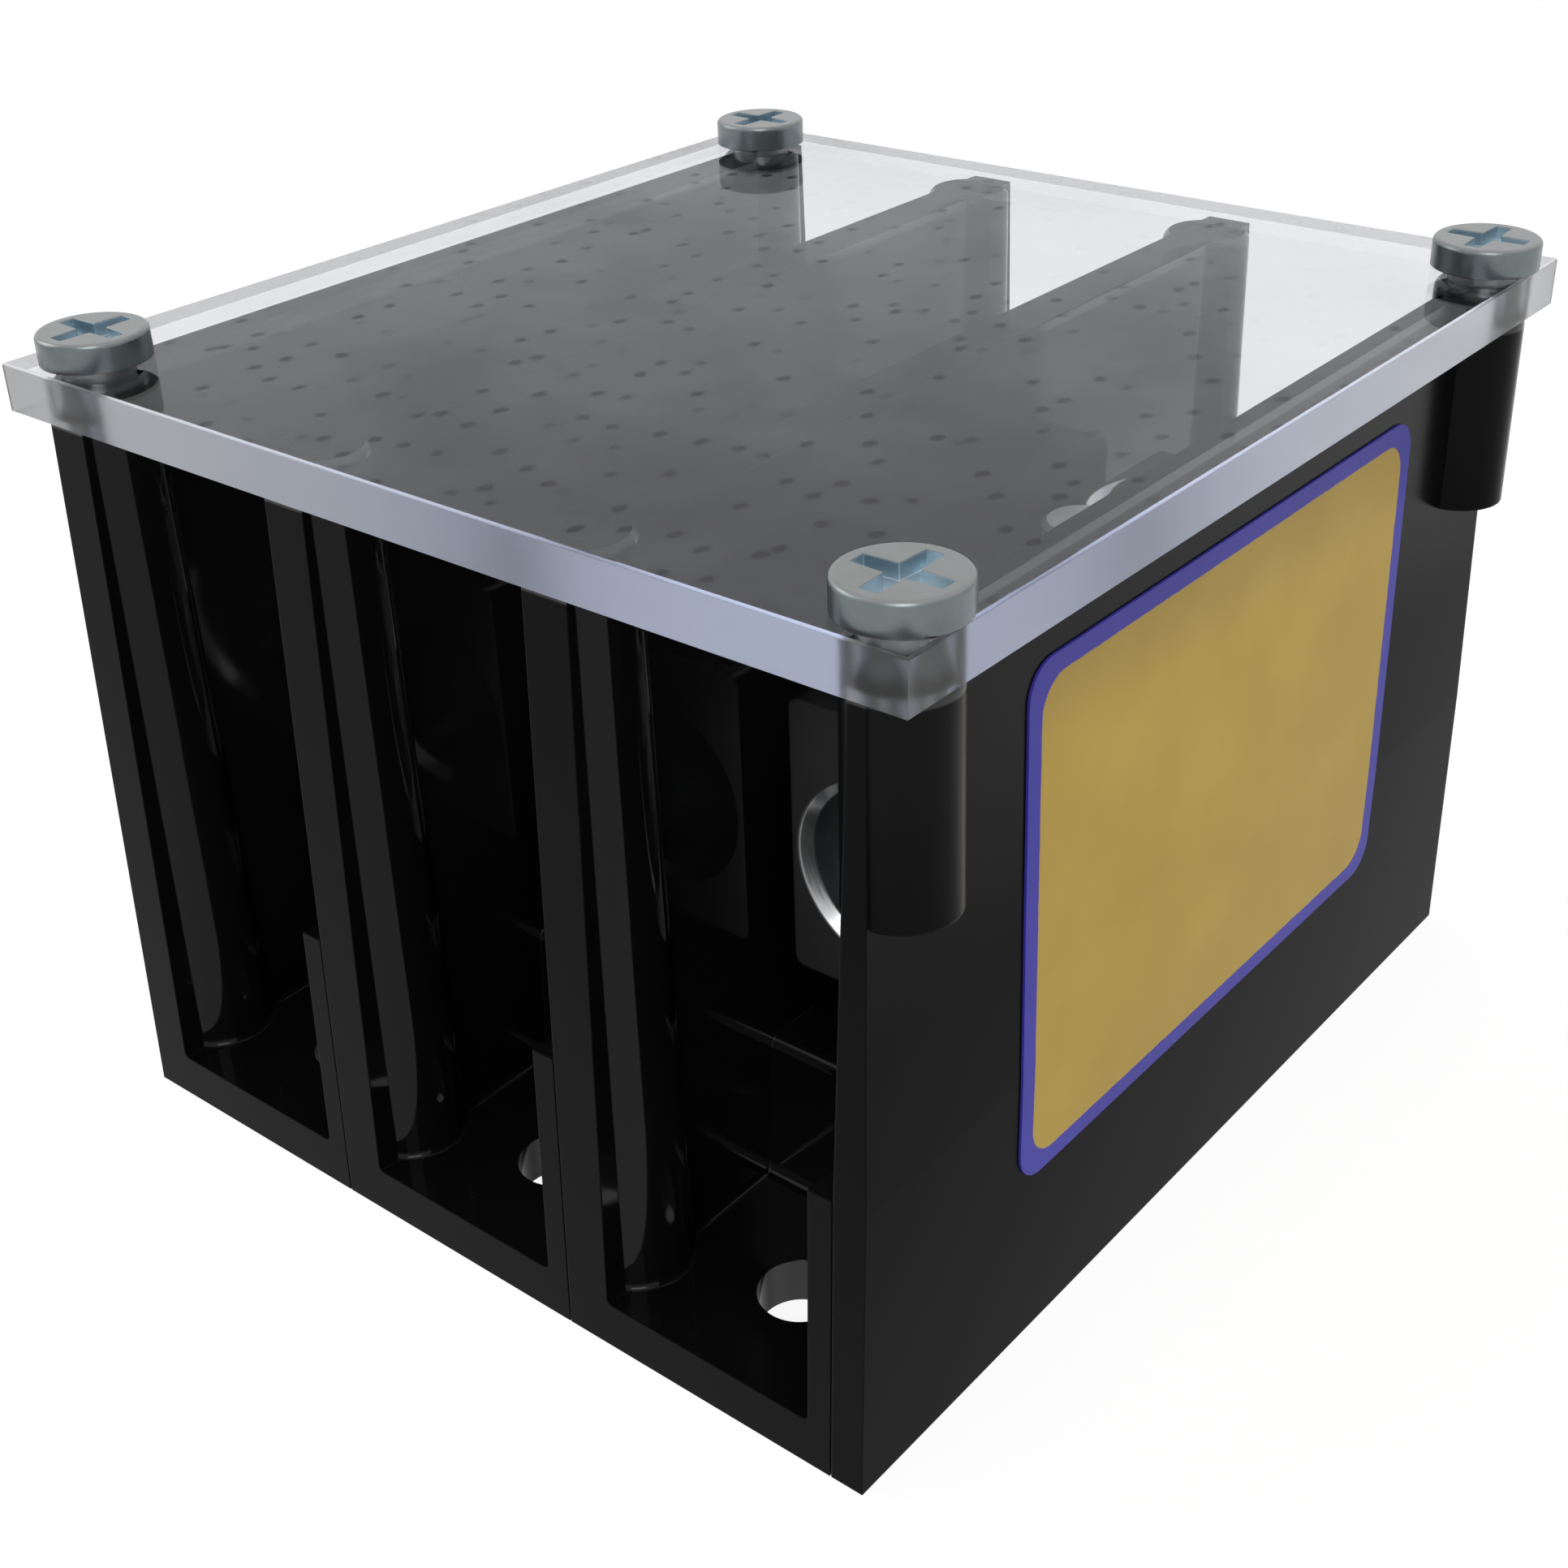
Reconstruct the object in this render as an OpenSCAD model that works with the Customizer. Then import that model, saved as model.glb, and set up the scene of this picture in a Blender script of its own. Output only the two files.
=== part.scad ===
// Three-pole power distribution block with a clear cover.
// Millimetres. X runs along the row of poles, Y along the conductors, Z up.
// The origin is the middle of the underside.

/* [Poles] */
// Distance from one pole to the next
pole_pitch = 20.3; // [19.5:0.1:24]
// Gap between neighbouring pieces of the row
seam = 0.1; // [0.05:0.05:0.3]
// Length of a pole at its foot, along the conductors
body_l = 73.2; // [71:0.2:80]
// Height of the walls, up to the cover
body_h = 49.5; // [46:0.5:56]
// Lean of the front and rear edges, in degrees
edge_draft = 2; // [0:0.5:3]
// Thickness of the tall wall
wall_t = 3.2; // [2.6:0.1:4]
// Thickness of the floor
floor_t = 3.2; // [2.4:0.1:4]
// Thickness of the low lip on the right
lip_t = 1.6; // [1.2:0.1:2]
// Height of the low lip
lip_h = 19.6; // [16:0.2:19.6]
// Radius of the fillets at the foot of the walls and columns
foot_fillet = 0.4; // [0.2:0.1:1]

/* [Columns and bosses] */
// Radius of a screw column at the top
column_r = 3; // [2.8:0.05:3.6]
// Draft of a column, in degrees
column_draft = 0.6; // [0:0.1:1]
// Distance from a pole's left face to its columns' axis
column_off = 1.5; // [1.2:0.1:2]
// Distance from the foot of the front or rear edge to the columns' axis
column_inset = 4.8; // [4.8:0.1:6]
// Radius of the rounded rim on top of a column
rim_r = 0.6; // [0.3:0.05:0.8]
// Length of the half columns outside the walls
boss_l = 12.7; // [10:0.1:20]
// Radius of the screw holes in the columns
pilot_r = 1.5; // [1.2:0.05:1.7]
// Depth of the screw holes
pilot_l = 12.2; // [11:0.2:18]

/* [Pedestal] */
// Height of the pedestal's top above the underside
pedestal_h = 13.45; // [11:0.05:15]
// Half length of the pedestal at its top
pedestal_half = 20.45; // [18:0.05:21]
// Lean of the pedestal's ends, in degrees
pedestal_draft = 2.8; // [0:0.1:4]
// Radius of the pedestal's rounded edges and foot
pedestal_r = 0.8; // [0.3:0.1:1.4]
// Half length of the seat under the connector
seat_half = 11; // [9:0.5:14]
// Height of the seat, where the connector rests
seat_h = 19.7; // [19.7:0.1:23]

/* [Cored underside] */
// Depth of skin left over the pockets
core_skin = 2; // [1.6:0.1:3]
// Thickness of the ribs between the pockets
core_rib = 1.7; // [1.2:0.1:2.4]
// Margin from a pocket to the wall, lip and ends
core_margin = 1.2; // [0.8:0.1:2]
// Distance from the bolt's axis to the first pocket
core_start = 7.4; // [7:0.1:8.4]

/* [Mounting holes] */
// Distance between the front and rear mounting holes
mount_spacing = 57.15; // [54:0.05:60]
// Radius of a mounting hole
mount_r = 2.65; // [2.1:0.05:3]

/* [Snap studs] */
// Radius of a snap stud
stud_r = 2.4; // [1.8:0.1:3]
// Length of a snap stud
stud_l = 1.2; // [0.8:0.1:1.3]
// Height of the studs' axis
stud_h = 9.8; // [8:0.1:12]
// Distance between the front and rear studs
stud_spacing = 48; // [40:0.5:54]
// Clearance round a stud, and at its end
stud_gap = 0.2; // [0.1:0.05:0.3]

/* [End plate] */
// Thickness of the end plate at its foot
plate_t = 2.2; // [2:0.1:3]
// Lean of its inner face above the lip, in degrees
plate_lean_in = 1.2; // [0:0.1:1.4]
// Lean of its outer face above the lip, in degrees
plate_lean_out = 0.9; // [0:0.1:1.2]
// Distance from its inner face to its bosses' axis
plate_boss_off = 1.5; // [1:0.05:1.6]

/* [Connectors] */
// Width of a connector
connector_w = 13.4; // [12.4:0.1:13.5]
// Length of a connector
connector_l = 40; // [39:0.2:44]
// Height of a connector
connector_h = 18.3; // [17:0.1:20]
// Radius of its long edges
connector_r = 0.7; // [0.3:0.1:1.4]
// Radius of a conductor port
port_r = 5.55; // [4.5:0.05:5.8]
// Depth of a conductor port
port_l = 15; // [14.5:0.1:15.8]
// Height of the ports' axis above the connector's underside
port_z = 8.5; // [8:0.05:9.5]
// Chamfer at the mouth of a port
port_chamfer = 0.65; // [0.3:0.05:0.7]

/* [Set screws] */
// Radius of a set screw
set_r = 5.4; // [4.6:0.05:5.45]
// Length of a set screw
set_l = 5; // [4.6:0.1:6]
// How far its lower end stands above the port
set_clear = 0.05; // [0.05:0.05:0.5]
// Clearance round a set screw in its hole
set_gap = 0.1; // [0.05:0.05:0.2]
// Distance from a connector's end to its set screw's axis
set_inset = 8.1; // [7.8:0.1:8.8]
// Width across the flats of the socket
socket_af = 6.35; // [4.8:0.01:7.9]
// Depth of the socket
socket_l = 3.2; // [2.4:0.1:3.6]
// Chamfer at the mouth of the socket
socket_chamfer = 0.3; // [0.1:0.05:0.5]
// Chamfer at both ends of a set screw
set_chamfer = 0.5; // [0.2:0.05:0.8]
// Height of its hole's floor above the lowest line of the port
set_floor = 3; // [2.6:0.1:3.4]
// Chamfer at the mouth of its hole
hole_chamfer = 0.55; // [0.3:0.05:0.7]

/* [Connector bolts] */
// Radius of a bolt's shank
bolt_r = 2.43; // [2.2:0.01:2.8]
// Clearance round the shank in the connector
bolt_gap = 0.05; // [0.05:0.05:0.1]
// Clearance round the shank in the pole
bolt_pole_gap = 0.25; // [0.1:0.05:0.4]
// How far a bolt's end stands above its connector
bolt_out = 3.5; // [1:0.1:5]
// Radius of a bolt's head
bolt_head_r = 4.7; // [4.2:0.1:5]
// Height of a bolt's head
bolt_head_h = 3.3; // [3:0.1:4]
// Clearance round the head
bolt_head_gap = 0.5; // [0.3:0.1:0.8]
// How far the head sits above the underside
bolt_sunk = 2.2; // [1:0.1:3]
// Chamfer at the bolt's end and round its head
bolt_chamfer = 0.3; // [0.1:0.05:0.6]
// Width of the head's slot
bolt_slot_w = 1.4; // [1:0.1:2]
// Depth of the head's slot
bolt_slot_l = 1.4; // [0.8:0.1:1.8]

/* [Cover] */
// Thickness of the cover
cover_t = 3.2; // [2.5:0.1:4]
// How far the cover overhangs the row at each side
cover_over = 2.55; // [2.2:0.05:5]
// How far the cover stays behind the foot at the front and rear
cover_back = 0.8; // [0:0.1:1]
// Radius of the screw holes
cover_hole_r = 2.2; // [2.15:0.05:2.6]
// Chamfer on the long edges
cover_edge = 0.15; // [0.05:0.05:0.5]

/* [Cover screws] */
// Radius of a screw's head
head_r = 3.42; // [3.2:0.01:4]
// Height of a screw's head
head_h = 1.83; // [1.5:0.01:2.5]
// Clearance round a screw's shank in its hole
shank_gap = 0.05; // [0.03:0.01:0.1]
// Length of the shank under the head
shank_l = 14.4; // [11:0.1:15]
// Length of the shank's pointed tip
shank_tip = 0.9; // [0.5:0.1:1.1]
// Radius of the head's upper edge
head_edge = 0.3; // [0.1:0.05:0.5]
// Length of one arm of the cross recess
cross_arm = 2.6; // [1.8:0.05:2.7]
// Width of its arms at their ends
cross_w = 1.05; // [0.8:0.05:1.3]
// Width of its arms where they meet
cross_mid = 1.3; // [1.3:0.05:1.6]
// Depth of the cross recess
cross_l = 0.9; // [0.6:0.05:1.2]

/* [Label] */
// Width of the label
label_w = 43.9; // [30:0.1:48]
// Height of the label
label_h = 33.4; // [24:0.1:34]
// Height of the label's lower edge
label_z = 12; // [8:0.1:13]
// How far the label's middle lies behind the plate's middle
label_y = 0.35; // [-2:0.05:2]
// Thickness of the label
label_t = 0.15; // [0.1:0.05:0.3]
// Radius of the label's corners
label_r = 2.2; // [1:0.1:4]

/* [Hidden] */
$fn = 64;
eps = 0.01;
// How far a cut runs past the face that it opens
cut = 1;
POLES = 3;

BLACK = [0.06, 0.06, 0.06];
ALUMINIUM = [0.42, 0.43, 0.45];
ZINC = [0.66, 0.69, 0.68];
CLEAR = [0.80, 0.82, 0.92, 0.45];
YELLOW = [0.80, 0.66, 0.25];

base_w = POLES * pole_pitch + plate_t;
pole_w = pole_pitch - seam;
column_y = body_l / 2 - column_inset;
plate_x = -base_w / 2 + POLES * pole_pitch;
// Middle of the room between one wall and the next
cell_x = (wall_t + pole_pitch) / 2;
connector_top = seat_h + connector_h;
port_axis = seat_h + port_z;
set_z = port_axis + port_r + set_clear;
set_y = connector_l / 2 - set_inset;
set_hole_r = set_r + set_gap;
screw_left_x = -base_w / 2 + column_off;
screw_right_x = plate_x + plate_boss_off;
cover_w = base_w + 2 * cover_over;
cover_l = body_l - 2 * cover_back;

function pole_x(i) = -base_w / 2 + i * pole_pitch;
function column_r_at(z) = column_r + (body_h - rim_r - z) * tan(column_draft);
function edge_y(z) = body_l / 2 - z * tan(edge_draft);

// A profile drawn in X and Z, made solid along Y, centred
module along_y(length) {
    translate([0, length / 2, 0]) rotate([90, 0, 0]) linear_extrude(length) children();
}

// A profile drawn in Y and Z, made solid from x0 to x1
module along_x(x0, x1) {
    translate([x0, 0, 0]) rotate([90, 0, 90]) linear_extrude(x1 - x0) children();
}

// A quarter fillet in the corner at the origin, towards +X and +Y
module corner_fillet(r) {
    difference() {
        translate([-eps, -eps]) square(r + eps);
        translate([r, r]) circle(r);
    }
}

// The leaning outline that poles and end plate share, seen from the side
module side_outline() {
    polygon([[-edge_y(0), 0], [edge_y(0), 0], [edge_y(body_h), body_h], [-edge_y(body_h), body_h]]);
}

// Wall, floor and lip of a pole, seen from the front
module pole_outline() {
    square([wall_t, body_h]);
    square([pole_w, floor_t]);
    translate([pole_w - lip_t, 0]) square([lip_t, lip_h]);
    translate([wall_t, floor_t]) corner_fillet(foot_fillet);
    translate([pole_w - lip_t, floor_t]) mirror([1, 0]) corner_fillet(foot_fillet);
}

// The block in the middle of a pole and the seat on it, seen from the side
module pedestal_outline() {
    foot = pedestal_half + (pedestal_h - floor_t) * tan(pedestal_draft);
    for (s = [0, 1]) mirror([s, 0]) {
        polygon([[0, 0], [foot, 0], [foot, floor_t], [pedestal_half, pedestal_h - pedestal_r],
            [pedestal_half - pedestal_r, pedestal_h], [0, pedestal_h]]);
        translate([pedestal_half - pedestal_r, pedestal_h - pedestal_r]) circle(pedestal_r);
        translate([foot, floor_t]) corner_fillet(pedestal_r);
        square([seat_half, seat_h]);
    }
}

// A drafted column with a rounded rim, from height z0 up to the cover
module column(z0) {
    rotate_extrude() {
        polygon([[0, z0], [column_r_at(z0), z0], [column_r, body_h - rim_r],
            [column_r - rim_r, body_h - rim_r], [column_r - rim_r, body_h], [0, body_h]]);
        intersection() {
            translate([column_r - rim_r, body_h - rim_r]) circle(rim_r);
            translate([0, body_h - rim_r]) square([column_r, rim_r]);
        }
    }
}

// Both ends of a wall's column: inside down to the floor, outside only a short boss
module wall_column() {
    column(body_h - boss_l);
    intersection() {
        union() {
            column(floor_t / 2);
            rotate_extrude() translate([column_r_at(floor_t), floor_t]) corner_fillet(foot_fillet);
        }
        translate([0, -body_l / 2, 0]) cube([body_l, body_l, body_h + cut]);
    }
}

module screw_hole() {
    translate([0, 0, body_h - pilot_l]) cylinder(h = pilot_l + cut, r = pilot_r);
}

// Pockets that core out the pedestal from below
module core_pockets() {
    x0 = wall_t + core_margin;
    x1 = pole_w - lip_t - core_margin;
    y1 = pedestal_half - core_margin;
    w = (x1 - x0 - core_rib) / 2;
    l = (y1 - core_start - core_rib) / 2;
    for (i = [0, 1], j = [0, 1], s = [0, 1]) mirror([0, s, 0])
        translate([x0 + i * (w + core_rib), core_start + j * (l + core_rib), -cut])
            cube([w, l, pedestal_h - core_skin + cut]);
}

// The pair of studs on a lip, or of sockets for them
module stud_pair(r, l) {
    for (s = [-1, 1]) translate([0, s * stud_spacing / 2, stud_h]) rotate([0, 90, 0])
        cylinder(h = l, r = r);
}

module sockets() {
    translate([-cut, 0, 0]) stud_pair(stud_r + stud_gap, cut + stud_l + stud_gap - seam);
}

// One pole. Only the first pole's columns carry cover screws, the others' holes are spare.
module pole(i) {
    color(BLACK) translate([pole_x(i), 0, 0]) difference() {
        union() {
            intersection() {
                along_y(body_l) pole_outline();
                along_x(0, pole_w) side_outline();
            }
            along_x(wall_t / 2, pole_w - lip_t / 2) pedestal_outline();
            for (s = [-1, 1]) translate([column_off, s * column_y, 0]) wall_column();
            translate([pole_w - lip_t / 2, 0, 0]) stud_pair(stud_r, lip_t / 2 + stud_l);
        }
        for (s = [-1, 1]) {
            translate([column_off, s * column_y, 0]) screw_hole();
            translate([cell_x, s * mount_spacing / 2, -cut]) cylinder(h = floor_t + 2 * cut, r = mount_r);
        }
        translate([cell_x, 0, -cut]) {
            cylinder(h = seat_h + 2 * cut, r = bolt_r + bolt_pole_gap);
            cylinder(h = cut + bolt_sunk + bolt_head_h, r = bolt_head_r + bolt_head_gap);
        }
        core_pockets();
        sockets();
    }
}

// The end plate's section seen from the front, grown outwards by t
module plate_outline(t) {
    rise = body_h - lip_h;
    top_in = rise * tan(plate_lean_in);
    top_out = plate_t + t - rise * tan(plate_lean_out);
    polygon([[0, 0], [plate_t + t, 0], [plate_t + t, lip_h], [top_out, body_h],
        [top_in, body_h], [0, lip_h]]);
}

module end_plate() {
    color(BLACK) translate([plate_x, 0, 0]) difference() {
        union() {
            intersection() {
                along_y(body_l) plate_outline(0);
                along_x(0, plate_t) side_outline();
            }
            for (s = [-1, 1]) translate([plate_boss_off, s * column_y, 0]) column(body_h - boss_l);
        }
        for (s = [-1, 1]) translate([plate_boss_off, s * column_y, 0]) screw_hole();
        sockets();
    }
}

module rounded_rect(w, h, r) {
    translate([-w / 2 + r, -h / 2]) square([w - 2 * r, h]);
    translate([-w / 2, -h / 2 + r]) square([w, h - 2 * r]);
    for (x = [-1, 1], y = [-1, 1]) translate([x * (w / 2 - r), y * (h / 2 - r)]) circle(r);
}

// Blind port with a chamfered mouth, from the front end of a connector inwards
module port() {
    translate([0, -connector_l / 2, port_axis]) rotate([-90, 0, 0]) {
        translate([0, 0, -cut]) cylinder(h = port_l + cut, r = port_r);
        translate([0, 0, -eps])
            cylinder(h = port_chamfer + eps, r1 = port_r + port_chamfer + eps, r2 = port_r);
    }
}

// Set screw hole, bored down into the port past its axis
module set_hole() {
    depth_z = port_axis - port_r + set_floor;
    translate([0, -set_y, depth_z]) cylinder(h = connector_top - depth_z + cut, r = set_hole_r);
    translate([0, -set_y, connector_top - hole_chamfer])
        cylinder(h = hole_chamfer + eps, r1 = set_hole_r, r2 = set_hole_r + hole_chamfer + eps);
}

module connector(i) {
    color(ALUMINIUM) translate([pole_x(i) + cell_x, 0, 0]) difference() {
        along_y(connector_l) translate([0, seat_h + connector_h / 2])
            rounded_rect(connector_w, connector_h, connector_r);
        for (s = [0, 1]) mirror([0, s, 0]) {
            port();
            set_hole();
        }
        translate([0, 0, seat_h - cut]) cylinder(h = connector_h + 2 * cut, r = bolt_r + bolt_gap);
    }
}

// A socket set screw, backed out of its port. side is -1 at the front and 1 at the rear.
module set_screw(i, side) {
    socket_r = socket_af / 2 / cos(30);
    color(ZINC) translate([pole_x(i) + cell_x, side * set_y, set_z]) difference() {
        rotate_extrude() polygon([[0, 0], [set_r - set_chamfer, 0], [set_r, set_chamfer],
            [set_r, set_l - set_chamfer], [set_r - set_chamfer, set_l], [0, set_l]]);
        translate([0, 0, set_l - socket_l]) cylinder(h = socket_l + cut, r = socket_r, $fn = 6);
        translate([0, 0, set_l - socket_chamfer])
            cylinder(h = socket_chamfer + eps, r1 = socket_r - socket_chamfer, r2 = socket_r + eps);
    }
}

// The bolt from below that holds a connector on its seat
module connector_bolt(i) {
    top = connector_top + bolt_out - bolt_sunk;
    c = bolt_chamfer;
    color(ZINC) translate([pole_x(i) + cell_x, 0, bolt_sunk]) difference() {
        rotate_extrude() polygon([[0, 0], [bolt_head_r - c, 0], [bolt_head_r, c],
            [bolt_head_r, bolt_head_h], [bolt_r, bolt_head_h], [bolt_r, top - c], [bolt_r - c, top],
            [0, top]]);
        translate([-bolt_head_r - cut, -bolt_slot_w / 2, -cut])
            cube([2 * (bolt_head_r + cut), bolt_slot_w, bolt_slot_l + cut]);
    }
}

// The clear sheet. Its long edges are chamfered all round, and its corners stay square.
module cover() {
    color(CLEAR) translate([0, 0, body_h]) difference() {
        intersection() {
            along_y(cover_l) sheet_section(cover_w);
            along_x(-cover_w / 2, cover_w / 2) sheet_section(cover_l);
        }
        for (x = [screw_left_x, screw_right_x], s = [-1, 1])
            translate([x, s * column_y, -cut]) cylinder(h = cover_t + 2 * cut, r = cover_hole_r);
    }
}

module sheet_section(w) {
    a = w / 2;
    e = cover_edge;
    polygon([[-a, e], [-a + e, 0], [a - e, 0], [a, e], [a, cover_t - e], [a - e, cover_t],
        [-a + e, cover_t], [-a, cover_t - e]]);
}

// A cross recess in a face at z = 0: two crossing slots, a little narrower towards their ends
module cross_recess() {
    a = cross_arm;
    w = cross_w / 2;
    m = cross_mid / 2;
    translate([0, 0, -cross_l]) linear_extrude(cross_l + cut) for (turn = [0, 90]) rotate(turn)
        polygon([[-a, -w], [0, -m], [a, -w], [a, w], [0, m], [-a, w]]);
}

// A cheese-head screw, seated on the cover. side is -1 at the front and 1 at the rear.
module cover_screw(x, side) {
    shank_r = pilot_r - shank_gap;
    color(ZINC) translate([x, side * column_y, body_h + cover_t]) difference() {
        rotate_extrude() {
            polygon([[0, -shank_l], [shank_r - shank_tip, -shank_l], [shank_r, -shank_l + shank_tip],
                [shank_r, 0], [head_r, 0], [head_r, head_h - head_edge],
                [head_r - head_edge, head_h - head_edge], [head_r - head_edge, head_h], [0, head_h]]);
            intersection() {
                translate([head_r - head_edge, head_h - head_edge]) circle(head_edge);
                translate([0, head_h - head_edge]) square([head_r, head_edge]);
            }
        }
        translate([0, 0, head_h]) cross_recess();
    }
}

// The label, laid on the end plate's outer face
module label() {
    color(YELLOW) translate([plate_x, 0, 0]) intersection() {
        difference() {
            along_y(body_l) plate_outline(label_t);
            along_y(body_l + 2 * cut) plate_outline(0);
        }
        along_x(plate_t / 2, plate_t + label_t + cut) translate([label_y, label_z + label_h / 2])
            rounded_rect(label_w, label_h, label_r);
    }
}

pole(0);  // pole_1
pole(1);  // pole_2
pole(2);  // pole_3
end_plate();
connector(0);  // connector_1
connector(1);  // connector_2
connector(2);  // connector_3
set_screw(0, -1);  // set_screw_1_front
set_screw(0, 1);  // set_screw_1_rear
set_screw(1, -1);  // set_screw_2_front
set_screw(1, 1);  // set_screw_2_rear
set_screw(2, -1);  // set_screw_3_front
set_screw(2, 1);  // set_screw_3_rear
connector_bolt(0);  // connector_bolt_1
connector_bolt(1);  // connector_bolt_2
connector_bolt(2);  // connector_bolt_3
cover();
cover_screw(screw_left_x, -1);  // cover_screw_front_left
cover_screw(screw_right_x, -1);  // cover_screw_front_right
cover_screw(screw_left_x, 1);  // cover_screw_rear_left
cover_screw(screw_right_x, 1);  // cover_screw_rear_right
label();
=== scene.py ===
import math

import bmesh
import bpy
from mathutils import Matrix, Vector


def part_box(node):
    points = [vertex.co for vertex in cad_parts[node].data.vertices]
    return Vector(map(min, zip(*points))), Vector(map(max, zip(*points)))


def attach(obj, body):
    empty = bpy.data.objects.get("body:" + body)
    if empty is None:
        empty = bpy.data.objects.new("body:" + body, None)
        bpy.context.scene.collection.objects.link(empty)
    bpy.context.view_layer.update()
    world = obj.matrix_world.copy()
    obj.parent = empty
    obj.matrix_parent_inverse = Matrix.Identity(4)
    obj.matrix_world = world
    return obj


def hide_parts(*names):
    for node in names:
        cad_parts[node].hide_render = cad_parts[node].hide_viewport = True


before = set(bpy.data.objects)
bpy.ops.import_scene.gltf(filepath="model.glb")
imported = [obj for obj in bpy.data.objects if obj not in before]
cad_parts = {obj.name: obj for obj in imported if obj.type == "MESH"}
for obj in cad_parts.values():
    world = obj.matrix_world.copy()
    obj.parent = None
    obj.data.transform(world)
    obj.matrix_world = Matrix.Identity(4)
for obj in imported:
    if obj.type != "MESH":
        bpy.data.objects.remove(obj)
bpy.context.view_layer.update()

# Everything below is in metres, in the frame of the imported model: the origin is the middle of the underside,
# +X runs along the row of poles, +Y along the conductors and +Z up.
MM = 0.001
scene = bpy.context.scene
scene.view_settings.view_transform = "Standard"
# Light that enters the clear sheet at one edge is turned back some twenty times before it leaves at another
scene.cycles.max_bounces = 32
scene.cycles.glossy_bounces = 32
scene.cycles.transmission_bounces = 32


def node_names(*starts):
    """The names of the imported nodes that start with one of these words, in order."""
    return [name for name in sorted(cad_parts) if name.startswith(starts)]


def middle(name):
    """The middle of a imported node's box."""
    low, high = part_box(name)
    return (low + high) / 2


# The camera of the photograph
CAMERA_PLACE = Vector((84.09, -104.13, 95.33)) * MM
CAMERA_RIGHT = Vector((0.7766, 0.6295, -0.0279))
CAMERA_UP = Vector((-0.2959, 0.4034, 0.8659))
CAMERA_BACK = Vector((0.5564, -0.6642, 0.4995))


def make_camera():
    """A 50 mm lens on a 36 mm frame, tilted a little to the left."""
    data = bpy.data.cameras.new("camera")
    data.sensor_fit = "HORIZONTAL"
    data.sensor_width = 36
    data.lens = 50
    data.clip_start = 0.005
    data.clip_end = 20
    camera = bpy.data.objects.new("camera", data)
    turn = Matrix((CAMERA_RIGHT, CAMERA_UP, CAMERA_BACK)).transposed()
    camera.matrix_world = Matrix.Translation(CAMERA_PLACE) @ turn.to_4x4()
    scene.collection.objects.link(camera)
    scene.camera = camera


class Nodes:
    """Short ways to add and link nodes in one node tree."""

    def __init__(self, tree):
        self.tree = tree

    def add(self, kind, settings=None, **values):
        """A new node. Each value is a number, a colour or the socket that feeds it, by the input's name."""
        node = self.tree.nodes.new(kind)
        for name, value in (settings or {}).items():
            setattr(node, name, value)
        for name, value in values.items():
            self.put(node.inputs[name.replace("_", " ")], value)
        return node

    def put(self, socket, value):
        """Links the socket that feeds this one, or sets its value."""
        if isinstance(value, bpy.types.NodeSocket):
            self.tree.links.new(value, socket)
        else:
            socket.default_value = value

    def math(self, operation, *values, clamp=False):
        """A number worked out from others."""
        node = self.tree.nodes.new("ShaderNodeMath")
        node.operation = operation
        node.use_clamp = clamp
        for socket, value in zip(node.inputs, values):
            self.put(socket, value)
        return node.outputs[0]

    def ramp(self, value, start, end, low=0.0, high=1.0):
        """low up to start, high from end, and smooth between."""
        settings = {"interpolation_type": "SMOOTHSTEP"}
        node = self.add("ShaderNodeMapRange", settings, Value=value, From_Min=start, From_Max=end)
        self.put(node.inputs["To Min"], low)
        self.put(node.inputs["To Max"], high)
        return node.outputs["Result"]

    def mix(self, factor, a, b):
        """A colour between a and b."""
        node = self.tree.nodes.new("ShaderNodeMix")
        node.data_type = "RGBA"
        for socket, value in zip((node.inputs[0], node.inputs[6], node.inputs[7]), (factor, a, b)):
            self.put(socket, value)
        return node.outputs[2]

    def between(self, factor, a, b):
        """A number between a and b."""
        node = self.tree.nodes.new("ShaderNodeMix")
        for socket, value in zip((node.inputs[0], node.inputs[2], node.inputs[3]), (factor, a, b)):
            self.put(socket, value)
        return node.outputs[0]

    def mix_shaders(self, factor, a, b):
        """A shader between a and b."""
        node = self.tree.nodes.new("ShaderNodeMixShader")
        for socket, value in zip(node.inputs, (factor, a, b)):
            self.put(socket, value)
        return node.outputs["Shader"]

    def noise(self, vector, scale, detail=2.0, roughness=0.5):
        """Noise of about one spot per 1/scale metres."""
        node = self.add("ShaderNodeTexNoise", Vector=vector, Scale=scale, Detail=detail, Roughness=roughness)
        return node.outputs["Fac"]

    def place(self):
        """Object coordinates."""
        return self.add("ShaderNodeTexCoord").outputs["Object"]

    def parts(self, vector):
        """The three numbers of a vector."""
        return self.add("ShaderNodeSeparateXYZ", Vector=vector).outputs[:]


def new_group(name, inputs, outputs):
    """An empty shader node group with named sockets. Returns it, its helper and its two end nodes."""
    group = bpy.data.node_groups.new(name, "ShaderNodeTree")
    for socket, (kind, value) in inputs.items():
        made = group.interface.new_socket(socket, in_out="INPUT", socket_type="NodeSocket" + kind)
        if value is not None:
            made.default_value = value
    for socket, kind in outputs.items():
        group.interface.new_socket(socket, in_out="OUTPUT", socket_type="NodeSocket" + kind)
    n = Nodes(group)
    return group, n, n.add("NodeGroupInput"), n.add("NodeGroupOutput")


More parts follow.
